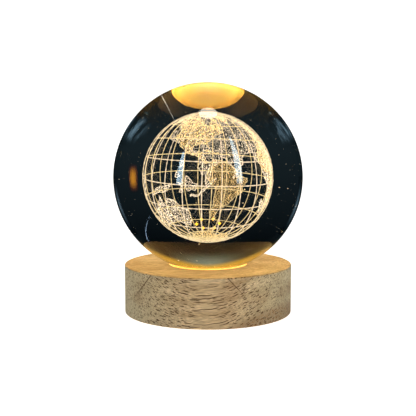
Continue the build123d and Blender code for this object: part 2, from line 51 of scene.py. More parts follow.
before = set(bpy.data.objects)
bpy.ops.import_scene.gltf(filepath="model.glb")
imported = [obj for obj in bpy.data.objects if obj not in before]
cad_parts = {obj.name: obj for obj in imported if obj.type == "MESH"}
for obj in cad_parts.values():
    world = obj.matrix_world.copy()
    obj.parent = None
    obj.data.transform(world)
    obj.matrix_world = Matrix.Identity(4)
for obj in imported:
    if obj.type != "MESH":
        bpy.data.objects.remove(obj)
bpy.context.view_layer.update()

MM = 0.001
GLASS_IOR = 1.5168
SOFT = {"interpolation_type": "SMOOTHSTEP"}  # a range with eased ends

# Places taken from the frame

ball_low, ball_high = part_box("crystal_ball")
BALL_CENTRE = np.array((ball_low + ball_high) / 2)
BALL_RADIUS = (ball_high.z - ball_low.z) / 2
BASE_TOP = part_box("wooden_base")[1].z
BOARD_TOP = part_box("led_board")[1].z
ring_low, ring_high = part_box("seat_ring")
spring_low, spring_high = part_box("switch_spring")


def nodes_named(start):
    """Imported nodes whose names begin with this, in the frame's order. There has to be one."""
    names = [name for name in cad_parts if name.startswith(start)]
    if not names:
        raise KeyError(start)
    return names


def mesh_arrays(node):
    """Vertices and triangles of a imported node, as arrays."""
    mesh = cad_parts[node].data
    mesh.calc_loop_triangles()
    points = np.empty(len(mesh.vertices) * 3, np.float32)
    mesh.vertices.foreach_get("co", points)
    corners = np.empty(len(mesh.loop_triangles) * 3, np.int32)
    mesh.loop_triangles.foreach_get("vertices", corners)
    return points.reshape(-1, 3).astype(float), corners.reshape(-1, 3)


def reach(points):
    """Distance of each point from the ball's centre."""
    return np.linalg.norm(points - BALL_CENTRE, axis=-1)


def axis_distance(points):
    """Distance of each point from the lamp's axis."""
    return np.hypot(points[..., 0], points[..., 1])


GLOBE_RADIUS = float(reach(mesh_arrays("engraved_graticule")[0]).max())
WELL_RADIUS = float(axis_distance(mesh_arrays("seat_ring")[0]).min())

# Colours, nodes and materials


def linear(hex_code):
    """An sRGB colour, written as hex, in the linear values that shaders take."""
    parts = [int(hex_code[i:i + 2], 16) / 255 for i in (1, 3, 5)]
    return tuple(p / 12.92 if p <= 0.04045 else ((p + 0.055) / 1.055) ** 2.4 for p in parts) + (1.0,)


def add(tree, kind, *inputs, **settings):
    """Add a node of a kind with its settings, and fill the sockets that these leave open, in order.

    An input is a value, an output, or a node whose first open output feeds the socket. None leaves
    a socket as it is, and a dict fills sockets by their names.
    """
    node = tree.nodes.new("ShaderNode" + kind)
    for name, value in settings.items():
        setattr(node, name, value)
    if inputs and isinstance(inputs[0], dict):
        filled = [(node.inputs[name], value) for name, value in inputs[0].items()]
    else:
        filled = zip([socket for socket in node.inputs if socket.enabled], inputs)
    for socket, value in filled:
        if isinstance(value, bpy.types.Node):
            value = next(output for output in value.outputs if output.enabled)
        if isinstance(value, bpy.types.NodeSocket):
            tree.links.new(value, socket)
        elif value is not None:
            socket.default_value = value
    return node


def new_material(name):
    """A material with an empty node tree, and the tree."""
    material = bpy.data.materials.new(name)
    material.use_nodes = True
    material.node_tree.nodes.clear()
    return material, material.node_tree


# Every piece sits at the origin, so its Object coordinates are the lamp's own, in metres. Noise lies
# mostly between 0.3 and 0.7, and how much of that a range takes in sets how hard a pattern's edges are.


def from_axis(tree, place):
    """Distance of a place from the lamp's axis."""
    x, y, _ = add(tree, "SeparateXYZ", place).outputs
    return add(tree, "VectorMath", add(tree, "CombineXYZ", x, y), operation="LENGTH")


def mottled(tree, size, first, second):
    """A colour that wanders between two hex colours, in patches of a size."""
    noise = add(tree, "TexNoise", add(tree, "TexCoord").outputs["Object"], 1 / size, 2.0)
    share = add(tree, "MapRange", noise, 0.35, 0.65, 0.0, 1.0)
    return add(tree, "Mix", share, linear(first), linear(second), data_type="RGBA")


def glowing_material(name, body, glow, size, first, second, **shader):
    """A body of one colour with a glow that wanders between two, in patches of a size."""
    material, tree = new_material(name)
    add(tree, "OutputMaterial", add(tree, "BsdfPrincipled", {
        "Base Color": linear(body), "Emission Color": mottled(tree, size, first, second),
        "Emission Strength": glow, **shader}))
    return material


def dress(material, *nodes):
    """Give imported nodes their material."""
    for node in nodes:
        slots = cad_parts[node].data.materials
        slots.clear()
        slots.append(material)


# Settings that a user may change


def length(name, description, size):
    """A length, with its default in mm."""
    return bpy.props.FloatProperty(name=name, description=description, default=size * MM, subtype="DISTANCE")


def angle(name, description, size):
    """An angle, with its default in degrees."""
    size = radians(size)
    return bpy.props.FloatProperty(name=name, description=description, default=size, subtype="ANGLE")


def plain_number(name, description, size):
    """A plain number, such as a share, a slope, a strength or a length in pixels."""
    return bpy.props.FloatProperty(name=name, description=description, default=size)


def hex_colour(name, description, code):
    """A colour, as hex."""
    return bpy.props.StringProperty(name=name, description=description + ", as hex", default=code)


# Meshes


def new_mesh(name, points, faces, material):
    """A mesh object at the origin, from arrays of points and faces."""
    mesh = bpy.data.meshes.new(name)
    mesh.from_pydata(points, [], faces)
    mesh.materials.append(material)
    piece = bpy.data.objects.new(name, mesh)
    bpy.context.scene.collection.objects.link(piece)
    return piece


def new_piece(name, points, faces, material, body, slot, smooth=True):
    """A piece of the lamp from arrays of points and faces, riding on a body."""
    piece = new_mesh(name, points, faces, material)
    mesh = piece.data
    mesh.polygons.foreach_set("use_smooth", [smooth] * len(mesh.polygons))
    mesh.update()
    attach(piece, body)
    return piece


def grid_faces(rows, columns, rows_closed=False, columns_closed=True):
    """Quads between neighbouring points of a grid, whose rows or columns may close on themselves."""
    i = np.arange(rows if rows_closed else rows - 1)[:, None]
    j = np.arange(columns if columns_closed else columns - 1)[None, :]
    next_i, next_j = (i + 1) % rows, (j + 1) % columns
    corners = (i * columns + j, i * columns + next_j, next_i * columns + next_j, next_i * columns + j)
    return np.stack(np.broadcast_arrays(*corners), axis=-1).reshape(-1, 4)


def unit(vectors):
    """Vectors at length 1."""
    return vectors / np.linalg.norm(vectors, axis=-1, keepdims=True)


def specks(centres, sizes):
    """An octahedron at each centre: centre + half its size along each axis, both ways."""
    tips = np.concatenate([np.eye(3), -np.eye(3)])
    points = centres[:, None] + sizes[:, None, None] / 2 * tips
    upper = [[0, 1, 2], [1, 3, 2], [3, 4, 2], [4, 0, 2]]
    lower = [[1, 0, 5], [3, 1, 5], [4, 3, 5], [0, 4, 5]]
    faces = np.array(upper + lower) + len(tips) * np.arange(len(centres))[:, None, None]
    return points.reshape(-1, 3), faces.reshape(-1, 3)


# Glass ball


class BallSettings(bpy.types.PropertyGroup):
    """The solid glass ball."""

    tint: hex_colour("Tint", "Colour of the glass", "#FCFEFF")
    streak: hex_colour("Streaks", "Colour of its faint streaks", "#F9FCFD")
    streak_size: length("Streak Size", "Width of a streak", 9)
    segments: bpy.props.IntProperty(
        name="Segments", description="Faces round the ball; half as many from pole to pole", default=288,
        min=8)
    speck_count: bpy.props.IntProperty(
        name="Specks", description="Dust specks that catch the light", default=1400)
    speck_size: length("Speck Size", "Width of the largest speck", 0.2)
    speck_glow: plain_number("Speck Glow", "Strength of the light on a speck", 1.2)


def glass_material(settings):
    """Polished optical crown glass: clear, with sharp reflections and faint streaks of its melt.

    Shadow rays pass straight through, because light focused by the ball isn't traced.
    """
    material, tree = new_material("polished_crown_glass")
    glass = add(tree, "BsdfPrincipled", {
        "Base Color": mottled(tree, settings.streak_size, settings.tint, settings.streak),
        "Roughness": 0.0, "IOR": GLASS_IOR, "Transmission Weight": 1.0})
    shadow = add(tree, "LightPath").outputs["Is Shadow Ray"]
    add(tree, "OutputMaterial", add(tree, "MixShader", shadow, glass, add(tree, "BsdfTransparent")))
    return material


class LAMP_OT_ball(bpy.types.Operator):
    """Make the solid glass ball and the dust in its skin"""

    bl_idname = "lamp.ball"
    bl_label = "Glass Ball"

    def execute(self, context):
        """The sphere c + r (cos a cos b, sin a cos b, sin b), closed by a point at each pole."""
        settings = context.scene.lamp_ball
        columns = settings.segments
        rows = columns // 2 - 1
        a = np.linspace(0, 2 * pi, columns, endpoint=False)
        b = np.linspace(-pi / 2, pi / 2, rows + 2)[1:-1, None]
        sphere = np.stack(np.broadcast_arrays(np.cos(a) * np.cos(b), np.sin(a) * np.cos(b), np.sin(b)), -1)
        points = np.concatenate([sphere.reshape(-1, 3), [[0, 0, -1], [0, 0, 1]]])
        j = np.arange(columns)
        after = (j + 1) % columns
        top = (rows - 1) * columns
        south = np.stack([after, j, np.full(columns, rows * columns)], -1)
        north = np.stack([top + j, top + after, np.full(columns, rows * columns + 1)], -1)
        faces = grid_faces(rows, columns).tolist() + south.tolist() + north.tolist()
        ball = new_piece("glass_ball", BALL_CENTRE + BALL_RADIUS * points, faces,
                         glass_material(settings), "ball", "ball_glass")
        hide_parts("crystal_ball")
        self.make_dust(settings)
        return {"FINISHED"}

    def make_dust(self, settings):
        """Specks at c + (r - depth) w for random directions w, except low in the ball.

        There the glass would show them much enlarged.
        """
        lowest, smallest = -0.5, 0.3    # of a direction's part upward, and of a size as a share
        shallow, deep = 0.6, 2.5        # depths in the glass, in mm
        draw = np.random.default_rng(5)
        way = unit(draw.normal(size=(settings.speck_count, 3)))
        way = way[way[:, 2] > lowest]
        sizes = settings.speck_size * draw.uniform(smallest, 1, len(way)) ** 2
        depth = draw.uniform(shallow, deep, len(way)) * MM
        points, faces = specks(BALL_CENTRE + way * (BALL_RADIUS - depth)[:, None], sizes)
        # The dust is real; its glow is painted light, for the light that the specks catch from below
        dust = glowing_material("dust_in_glass_with_painted_glow", "#D8B878", settings.speck_glow, 3 * MM,
                                "#FFF6E4", "#FFE2B4", Roughness=0.8)
        new_piece("glass_specks", points, faces, dust, "ball", "ball_glass", smooth=False)


# Engraved globe


class EngravingSettings(bpy.types.PropertyGroup):
    """The globe of tiny cracks that a laser leaves inside the glass."""

    lean_back: angle("Lean Back", "The north pole leans back by this", 11.4)
    lean_side: angle("Lean Side", "And to the right by this", 1.6)
    front_longitude: angle("Front Longitude", "Longitude that faces the front", -79.6)
    meridian_step: angle("Meridian Step", "Angle between meridians", 15)
    parallel_step: angle("Parallel Step", "Angle between parallels", 18)
    line_width: length("Line Width", "Width of an engraved line", 0.24)
    line_unevenness: plain_number(
        "Line Unevenness", "Change of a line's width along it, as a share", 0.3)
    dot_size: length("Dot Size", "Width of one crack on the land", 0.18)
    dot_count: bpy.props.IntProperty(name="Dots", description="Cracks that fill the land", default=15000)
    land_depth: length("Land Depth", "Depth of the layer of cracks", 0.3)
    coast_dot_size: length("Coast Dot Size", "Width of one crack on a coast", 0.24)
    coast_step: length("Coast Step", "Distance between cracks along a coast", 0.16)
    coast_ripple: length("Coast Ripple", "How far a coast wanders from its outline", 0.42)
    line_colour: hex_colour("Line Colour", "Glow of the lines", "#FFDF9E")
    land_colour: hex_colour("Land Colour", "Glow of the land", "#FFD082")
    far_colour: hex_colour("Far Colour", "Cooler glow at the back of the globe", "#FFE6C4")
    glow: plain_number("Glow", "Strength of the lines' glow", 1.15)
    land_glow: plain_number(
        "Land Glow", "Strength of the land's cracks, finer than the picture's pixels", 2.55)
    coast_glow: plain_number("Coast Glow", "Strength of the coasts' glow", 1.3)
    glint_size: length("Glint Size", "Width of an LED's image in the glass", 1.0)
    glint_spread: plain_number(
        "Glint Spread", "Size of the ring of LED images, as a share of the LEDs' ring", 0.32)
    glint_depth: length("Glint Depth", "LED images below the ball's centre", 13)
    glint_tilt: angle("Glint Tilt", "Slope of the ring of LED images", 29)
    glint_glow: plain_number("Glint Glow", "Strength of the LED images", 2.2)


def crack_material(name, colour, settings, glow, patch, contrast):
    """Micro-cracks in glass: each scatters the light from below, unevenly, and cooler at the back.

    The light that they scatter is all given as glow, so they take little from the lights. The glow
    grows toward the north, but fades there on the far side, which is seen through the near one.
    """
    low_share, north_share, far_north = 0.97, 1.3, -0.88
    centre, north = BALL_CENTRE[2], BALL_CENTRE[2] + GLOBE_RADIUS
    near, far = -GLOBE_RADIUS / 4, GLOBE_RADIUS / 2
    material, tree = new_material(name)
    place = add(tree, "TexCoord").outputs["Object"]
    _, y, z = add(tree, "SeparateXYZ", place).outputs
    grains = add(tree, "TexNoise", place, 1 / patch, 1.0)
    grain = add(tree, "MapRange", grains, 0.4, 0.6, 1 - contrast, 1.0, **SOFT)
    lit = add(tree, "MapRange", z, centre, north, low_share * glow, north_share * glow)
    behind = add(tree, "MapRange", y, 0.0, far, 0.0, 1.0)
    dimming = add(tree, "MapRange", z, centre, north, 0.0, far_north)
    faint = add(tree, "Math", behind, dimming, 1.0, operation="MULTIPLY_ADD")
    uneven = add(tree, "Math", lit, grain, operation="MULTIPLY")
    back = add(tree, "MapRange", y, near, far, 0.0, 1.0)
    tone = add(tree, "Mix", back, linear(colour), linear(settings.far_colour), data_type="RGBA")
    add(tree, "OutputMaterial", add(tree, "BsdfPrincipled", {
        "Base Color": linear("#1C1812"), "Roughness": 0.6, "Specular IOR Level": 0.0,
        "Emission Color": tone,
        "Emission Strength": add(tree, "Math", uneven, faint, operation="MULTIPLY")}))
    return material


def globe_axes(settings):
    """The globe's own axes: its equator's first two directions and its pole, as rows."""
    a, b = -settings.lean_back, settings.lean_side
    across = np.array([cos(b), sin(a) * sin(b), -cos(a) * sin(b)])
    pole = np.array([sin(b), -sin(a) * cos(b), cos(a) * cos(b)])
    return np.array([across, np.cross(pole, across), pole])


def hoop(axis, height, width, unevenness, draw, steps=320):
    """A thin ring round an axis on the globe, with a diamond section of uneven width.

    Its line is c + h axis + rho (e cos u + f sin u), rho = sqrt(R^2 - h^2), and the section is
    w(u) / 2 (n cos v + t sin v), with n away from the centre c and t along the globe's surface.
    The width w is a sum of waves with a random number of beats round the ring.
    """
    fewest_beats, most_beats, waves, corners = 20, 90, 4, 4
    off_axis = [0.3, 0.5, 0.9]        # any direction that isn't one of the axes
    e = unit(np.cross(axis, off_axis))
    f = np.cross(axis, e)
    u = np.linspace(0, 2 * pi, steps, endpoint=False)[:, None]
    ring = np.sqrt(GLOBE_RADIUS ** 2 - height ** 2)
    line = height * axis + ring * (e * np.cos(u) + f * np.sin(u))
    out = unit(line)
    along = np.cross(out, e * -np.sin(u) + f * np.cos(u))
    beats = draw.integers(fewest_beats, most_beats, waves)
    wave = np.cos(u * beats + draw.uniform(0, 2 * pi, waves)).sum(axis=1) / waves
    half = width / 2 * (1 + 2 * unevenness * wave)[:, None, None]
    v = np.arange(corners)[None, :, None] * 2 * pi / corners
    section = half * (out[:, None] * np.cos(v) + along[:, None] * np.sin(v))
    points = BALL_CENTRE + line[:, None] + section
    return points.reshape(-1, 3), grid_faces(steps, corners, rows_closed=True)


def joined(parts):
    """One pair of point and face arrays from several."""
    counts = np.cumsum([0] + [len(points) for points, _ in parts])
    faces = [part[1] + first for part, first in zip(parts, counts)]
    return np.concatenate([points for points, _ in parts]), np.concatenate(faces)


class LAMP_OT_grid(bpy.types.Operator):
    """Make the engraved grid of meridians and parallels"""

    bl_idname = "lamp.grid"
    bl_label = "Engraved Grid"

    def execute(self, context):
        """Great circles through the poles, each two meridians, and a circle for each parallel."""
        settings = context.scene.lamp_engraving
        across, forth, pole = globe_axes(settings)
        draw = np.random.default_rng(11)
        look = (settings.line_width, settings.line_unevenness, draw)
        rings = []
        for number in range(round(pi / settings.meridian_step)):
            turn = number * settings.meridian_step - settings.front_longitude
            rings.append(hoop(forth * cos(turn) - across * sin(turn), 0.0, *look))
        levels = round(pi / 2 / settings.parallel_step) - 1
        for number in range(-levels, levels + 1):
            height = GLOBE_RADIUS * sin(number * settings.parallel_step)
            rings.append(hoop(pole, height, *look))
        material = crack_material("laser_cracks_in_lines", settings.line_colour, settings, settings.glow,
                                  patch=0.9 * MM, contrast=0.25)
        grid = new_piece("engraved_lines", *joined(rings), material, "ball", "engraved_lines", smooth=False)
        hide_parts("engraved_graticule")
        return {"FINISHED"}


def outer_land():
    """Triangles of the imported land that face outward, as an array of triangles of points."""
    tolerance = 0.02 * MM
    points, corners = mesh_arrays("engraved_land")
    distance = reach(points)
    outward = (distance[corners] > distance.max() - tolerance).all(axis=1)
    return points[corners[outward]]


def ripple(points, amount, draw):
    """Move points a little along the globe, by a sum of waves, so that coasts wander."""
    moved = points.copy()
    lengths, waves_each = (3.2, 1.7, 0.9, 0.5), 4        # of the waves, in mm, and how many of each
    full_length = 8        # a wave of this length would move a point by the whole amount
    for size in lengths:
        for _ in range(waves_each):
            way = unit(draw.normal(size=3))
            phase = (points - BALL_CENTRE) @ way * 2 * pi / (size * MM) + draw.uniform(0, 2 * pi)
            moved += np.sin(phase)[:, None] * unit(draw.normal(size=3)) * amount * size / full_length
    return BALL_CENTRE + unit(moved - BALL_CENTRE) * reach(points)[:, None]


def land_field(land, count):
    """Points spread evenly by area over triangles a, b, c, at a + s (b - a) + t (c - a).

    s and t go on by two uneven steps, past 1 from 0 again, and are folded back where they leave the
    triangle.
    """
    uneven_steps = [0.7549, 0.5698]
    a, b, c = land.transpose(1, 0, 2)
    area = np.linalg.norm(np.cross(b - a, c - a), axis=1)
    chosen = np.searchsorted(np.cumsum(area) / area.sum(), (np.arange(count) + 0.5) / count)
    s, t = np.mod(np.outer(uneven_steps, np.arange(count)), 1)
    folded = s + t > 1
    s, t = np.where(folded, 1 - s, s)[:, None], np.where(folded, 1 - t, t)[:, None]
    return a[chosen] + s * (b - a)[chosen] + t * (c - a)[chosen]


def coast_line(land, step):
    """Points at every step along the edges that belong to just one of the triangles."""
    same_place = 0.002 * MM
    keys = np.round(land / same_place).astype(np.int64)
    _, names = np.unique(keys.reshape(-1, 3), axis=0, return_inverse=True)
    names = names.reshape(-1, 3)
    sides = ([0, 1], [1, 2], [2, 0])
    edges = np.concatenate([names[:, side] for side in sides])
    ends = np.concatenate([land[:, side] for side in sides])
    _, first, uses = np.unique(np.sort(edges, axis=1), axis=0, return_index=True, return_counts=True)
    start, stop = ends[first[uses == 1]].transpose(1, 0, 2)
    steps = np.maximum(1, np.round(np.linalg.norm(stop - start, axis=1) / step)).astype(int)
    side = np.repeat(np.arange(len(steps)), steps)
    place = (np.arange(len(side)) - np.repeat(np.cumsum(steps) - steps, steps)) / steps[side]
    return start[side] + place[:, None] * (stop - start)[side]


class LAMP_OT_land(bpy.types.Operator):
    """Make the engraved land: a field of cracks, and a row of them along each coast"""

    bl_idname = "lamp.land"
    bl_label = "Engraved Land"

    def execute(self, context):
        """Cracks all over the land, at random depths in a thin layer, and along its coasts."""
        settings = context.scene.lamp_engraving
        draw = np.random.default_rng(23)
        land = outer_land()
        field = land_field(land, settings.dot_count)
        field_sizes = settings.dot_size * draw.uniform(0.7, 1.25, len(field))
        coast = coast_line(land, settings.coast_step)
        coast_sizes = settings.coast_dot_size * draw.uniform(0.8, 1.2, len(coast))
        centres = ripple(np.concatenate([field, coast]), settings.coast_ripple, draw)
        depth = settings.land_depth * draw.uniform(0, 1, len(field))
        centres[:len(field)] -= depth[:, None] * unit(field - BALL_CENTRE)
        inside = crack_material("laser_cracks_in_land", settings.land_colour, settings, settings.land_glow,
                                patch=0.38 * MM, contrast=0.66)
        piece = new_piece("engraved_continents", *specks(centres[:len(field)], field_sizes), inside,
                          "ball", "engraved_land", smooth=False)
        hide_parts("engraved_land")
        edge = crack_material("laser_cracks_in_coasts", settings.line_colour, settings, settings.coast_glow,
                              patch=0.6 * MM, contrast=0.35)
        new_piece("engraved_coasts", *specks(centres[len(field):], coast_sizes), edge,
                  "ball", "engraved_land", smooth=False)
        return {"FINISHED"}


class LAMP_OT_glints(bpy.types.Operator):
    """Make the images of the LEDs that hang in the glass, low in the globe"""

    bl_idname = "lamp.glints"
    bl_label = "LED Glints"

    def execute(self, context):
        """Each LED's place (x, y), scaled by s, on a plane tilted by t: c + (s x, s y cos t, s y sin t - d).

        The ball reflects each LED twice inside and shows it there. Too few traced paths find that
        image, so small glowing specks stand in for it.
        """
        settings = context.scene.lamp_engraving
        tilt = settings.glint_tilt
        boxes = [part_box(name) for name in nodes_named("led_phosphor")]
        leds = np.array([(low + high) / 2 for low, high in boxes])
        x, y = settings.glint_spread * leds[:, :2].T
        centres = BALL_CENTRE + np.stack([x, y * cos(tilt), y * sin(tilt) - settings.glint_depth], -1)
        points, faces = specks(centres, np.full(len(centres), settings.glint_size))
        gold = glowing_material("led_image_in_glass", "#000000", settings.glint_glow, 0.4 * MM,
                                "#FFCA44", "#FFB82C")
        new_piece("led_glints", points, faces, gold, "ball", "led_phosphor", smooth=False)
        return {"FINISHED"}


# Wooden base


class WoodSettings(bpy.types.PropertyGroup):
    """Pale tropical hardwood, turned and sanded, with its grain along X."""

    pale: hex_colour("Pale Wood", "Lightest wood", "#D2B88E")
    end: hex_colour("End Grain", "Wood cut across its grain", "#BBB390")
    tan: hex_colour("Tan Wood", "Darker bands", "#A98C64")
    brown: hex_colour("Brown Wood", "Stained patches", "#835C35")
    pore: hex_colour("Pores", "Inside of the pores", "#472814")
    pore_spacing: length("Pore Spacing", "Distance between pores across the grain", 0.68)
    pore_width: length("Pore Width", "Width of a pore", 0.31)
    pore_flatness: plain_number(
        "Pore Flatness", "Height of a pore, as a share of its depth from front to back", 0.42)
    dip: plain_number("Dip", "The flat pores dip toward the front by this slope", 0.5)
    sag_middle: length("Sag Middle", "Where the grain lies level, along X", -8)
    sag_radius: length("Sag Radius", "Radius of the grain's curve", 90)
    seam_width: length("Seam Width", "Half the width of a seam", 0.3)
    # Painted light: the glow given to the wood of the well, for the light that it sends back
    well_glow: plain_number(
        "Well Glow", "Light that the wall of the lit well sends back, at its middle", 9.6)


# The wood's patterns: sizes in mm along the grain (X), from front to back and upward, and their detail
WOOD_BANDS = (60, 8, 3.2), 4.0
WOOD_FIBRES = (6, 0.36, 0.36), 4.0
WOOD_STAINS = (26, 14, 9), 1.0
PORE_BREAKS = (6, 1.1, 1.1), 1.0

# Fine seams in the wood at the front: x and z of their upper and lower ends, in mm
SEAMS = ((7.9, 20.8, 15.3, 12.5), (-22.9, 20.6, -31.4, 8.2))


def well_light(tree, place, settings):
    """Strength of the glow painted on the wood for the light that it sends back: on the wall of the well,
    more near the ball.
    """
    low_share, high_share, wall = 0.66, 1.25, WELL_RADIUS + 0.5 * MM
    z = add(tree, "SeparateXYZ", place).outputs["Z"]
    near = add(tree, "Math", from_axis(tree, place), wall, operation="LESS_THAN")
    above = add(tree, "Math", z, BOARD_TOP, operation="GREATER_THAN")
    share = add(tree, "MapRange", z, BOARD_TOP + 3 * MM, BASE_TOP - 1.5 * MM,
                low_share * settings.well_glow, high_share * settings.well_glow)
    lit = add(tree, "Math", near, above, operation="MULTIPLY")
    return add(tree, "Math", lit, share, operation="MULTIPLY")


def grain_place(tree, place, settings):
    """The place in the wood's own run, whose pores lie along X.

    Their lines sag by (x - m)^2 / (2 r), drift slowly and ripple a little.
    """
    drift_size, drift_reach = 20 * MM, (0, 2.4 * MM, 1.8 * MM)
    ripple_size, ripple_reach = 2.6 * MM, (0, 0.4 * MM, 0.4 * MM)
    drift = add(tree, "TexNoise", place, 1 / drift_size, 2.0).outputs["Color"]
    centred = add(tree, "VectorMath", drift, (0.5, 0.5, 0.5), operation="SUBTRACT")
    shift = add(tree, "VectorMath", centred, drift_reach, operation="MULTIPLY")
    wave = add(tree, "TexNoise", place, 1 / ripple_size, 0.0).outputs["Color"]
    small = add(tree, "VectorMath", wave, ripple_reach, operation="MULTIPLY")
    x = add(tree, "SeparateXYZ", place).outputs["X"]
    from_middle = add(tree, "Math", x, settings.sag_middle, operation="SUBTRACT")
    squared = add(tree, "Math", from_middle, from_middle, operation="MULTIPLY")
    sag = add(tree, "Math", squared, -0.5 / settings.sag_radius, operation="MULTIPLY")
    moved = place
    for part in (shift, small, add(tree, "CombineXYZ", None, None, sag)):
        moved = add(tree, "VectorMath", moved, part, operation="ADD")
    return moved


def seam(tree, place, start, stop, width):
    """Mask of a fine seam on the front, along a line from start to stop in x and z, fading to its end."""
    darkest, edge = 0.8, BASE_TOP - 0.1 * MM
    start, stop = np.array(start) * MM, np.array(stop) * MM
    run = unit(stop - start)
    offset = float(-run[1] * start[0] + run[0] * start[1])
    off = add(tree, "VectorMath", place, (-run[1], 0, run[0]), operation="DOT_PRODUCT")
    away = add(tree, "Math", off, offset, operation="SUBTRACT")
    apart = add(tree, "Math", away, operation="ABSOLUTE")
    line = add(tree, "MapRange", apart, width / 4, width, darkest, 0.0, **SOFT)
    _, y, z = add(tree, "SeparateXYZ", place).outputs
    fade = add(tree, "MapRange", z, stop[1], (start[1] + stop[1]) / 2, 0.0, 1.0)
    front = add(tree, "Math", y, 0.0, operation="LESS_THAN")
    side = add(tree, "Math", z, edge, operation="LESS_THAN")
    for part in (fade, front, side):
        line = add(tree, "Math", line, part, operation="MULTIPLY")
    return line


def wood_noise(tree, place, sizes, detail):
    """Noise with cells of these sizes in mm, along the grain and across it."""
    scale = tuple(1 / (size * MM) for size in sizes)
    scaled = add(tree, "VectorMath", place, scale, operation="MULTIPLY")
    return add(tree, "TexNoise", scaled, 1.0, detail)


def wood_tone(tree, place, wavy, facing_ends, settings):
    """Colour of the wood between its pores: bands, greyer ends, brown stains and fine fibres over all.

    One stain lies at the lower right corner of the front, along (1, -0.5, -2).
    """
    corner_way, corner_start, corner_full = (1, -0.5, -2), 22 * MM, 28 * MM
    bands = add(tree, "MapRange", wood_noise(tree, wavy, *WOOD_BANDS), 0.3, 0.7, 0.0, 1.0)
    fibres = wood_noise(tree, wavy, *WOOD_FIBRES)
    stains = add(tree, "MapRange", wood_noise(tree, wavy, *WOOD_STAINS), 0.56, 0.76, 0.0, 0.45)
    corner = add(tree, "VectorMath", place, corner_way, operation="DOT_PRODUCT")
    marks = add(tree, "Math", add(tree, "MapRange", corner, corner_start, corner_full, 0.0, 1.0),
                add(tree, "MapRange", fibres, 0.42, 0.58, 0.1, 0.9), operation="MULTIPLY")
    patches = add(tree, "Math", stains, marks, operation="MAXIMUM")
    ends = add(tree, "MapRange", facing_ends, 0.25, 0.95, 0.0, 0.75)
    colour = linear(settings.pale)
    for share, tone in ((bands, settings.tan), (ends, settings.end), (patches, settings.brown)):
        colour = add(tree, "Mix", share, colour, linear(tone), data_type="RGBA")
    light = add(tree, "MapRange", fibres, 0.3, 0.7, 0.6, 1.36)
    return add(tree, "VectorMath", colour, light, operation="SCALE")


def wood_pores(tree, wavy, facing_ends, facing_up, settings):
    """Mask of the open pores: flat tubes along the grain, broken here and there.

    They are fainter on the end grain and on top.
    """
    deep = add(tree, "VectorMath", wavy, (0, settings.pore_flatness, 0), operation="DOT_PRODUCT")
    level = add(tree, "VectorMath", wavy, (0, -settings.dip, 1), operation="DOT_PRODUCT")
    section = add(tree, "CombineXYZ", deep, level)
    tubes = add(tree, "TexVoronoi", section, 1 / settings.pore_spacing, voronoi_dimensions="2D")
    size = settings.pore_width / settings.pore_spacing / 2
    breaks = wood_noise(tree, wavy, *PORE_BREAKS)
    narrowed = add(tree, "MapRange", breaks, 0.32, 0.48, -0.3 * size, size)
    inside = add(tree, "Math", narrowed, tubes, operation="SUBTRACT")
    holes = add(tree, "MapRange", inside, -0.25 * size, 0.15 * size, 0.0, 1.0, **SOFT)
    at_ends = add(tree, "MapRange", facing_ends, 0.6, 1.0, 1.0, 0.75)
    at_top = add(tree, "MapRange", facing_up, 0.5, 1.0, 1.0, 0.4)
    depth = add(tree, "Math", at_ends, at_top, operation="MULTIPLY")
    return add(tree, "Math", holes, depth, operation="MULTIPLY")


def wood_material(settings):
    """Sanded, lightly oiled hardwood: matt, with long open pores.

    The pores are tubes along the grain, so they show as dots on the end grain at the sides and as
    dashes at the front, where the turned surface runs beside them. The wall of the well has a painted glow,
    for the LED light that it sends back.
    """
    pore_depth = 0.08 * MM
    material, tree = new_material("sanded_hardwood_with_painted_well_glow")
    place = add(tree, "TexCoord").outputs["Object"]
    wavy = grain_place(tree, place, settings)
    facing = add(tree, "NewGeometry").outputs["Normal"]
    along = add(tree, "VectorMath", facing, (1, 0, 0), operation="DOT_PRODUCT")
    facing_ends = add(tree, "Math", along, operation="ABSOLUTE")
    facing_up = add(tree, "SeparateXYZ", facing).outputs["Z"]
    tone = wood_tone(tree, place, wavy, facing_ends, settings)
    dark = wood_pores(tree, wavy, facing_ends, facing_up, settings)
    for ends in SEAMS:
        line = seam(tree, place, ends[:2], ends[2:], settings.seam_width)
        dark = add(tree, "Math", dark, line, operation="MAXIMUM")
    hollow = add(tree, "MapRange", dark, 0.0, 1.0, 0.0, -pore_depth)
    add(tree, "OutputMaterial", add(tree, "BsdfPrincipled", {
        "Roughness": 0.62, "Specular IOR Level": 0.3,
        "Base Color": add(tree, "Mix", dark, tone, linear(settings.pore), data_type="RGBA"),
        "Normal": add(tree, "Bump", {"Strength": 0.6, "Distance": 1.0, "Height": hollow}),
        # Painted light: a warm glow on the wall of the well, for the LED light that it sends back
        "Emission Color": linear("#FFC55A"), "Emission Strength": well_light(tree, place, settings)}))
    material.cycles.emission_sampling = "NONE"
    return material


class LAMP_OT_base(bpy.types.Operator):
    """Finish the turned wooden base"""

    bl_idname = "lamp.base"
    bl_label = "Wooden Base"

    def execute(self, context):
        """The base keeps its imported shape, and its wood is one solid pattern, so the grain runs through."""
        dress(wood_material(context.scene.lamp_wood), "wooden_base")
        return {"FINISHED"}


# Light inside the base


class LightSettings(bpy.types.PropertyGroup):
    """The warm light under the ball."""

    warm: hex_colour("Light Colour", "Colour of the light", "#FFC070")
    led_glow: plain_number("LED Glow", "Strength of the LEDs' phosphor", 16.0)
    # Painted light: the seat ring is no lamp, and its glow stands for the LEDs' light coming through it
    ring_glow: plain_number("Ring Glow", "Strength of the seat ring outside the ball's contact", 1.5)
    ring_core: plain_number(
        "Ring Core", "Strength of the seat ring inside the contact, above the LEDs", 10.5)
    spill_colour: hex_colour("Spill Colour", "Colour of the light on the wood", "#FFE4A2")
    spill: plain_number("Spill", "Light from the globe that falls on the wood, in watts", 0.265)
    well: plain_number("Well Light", "Light that the ball returns into the well, in watts", 0.02)


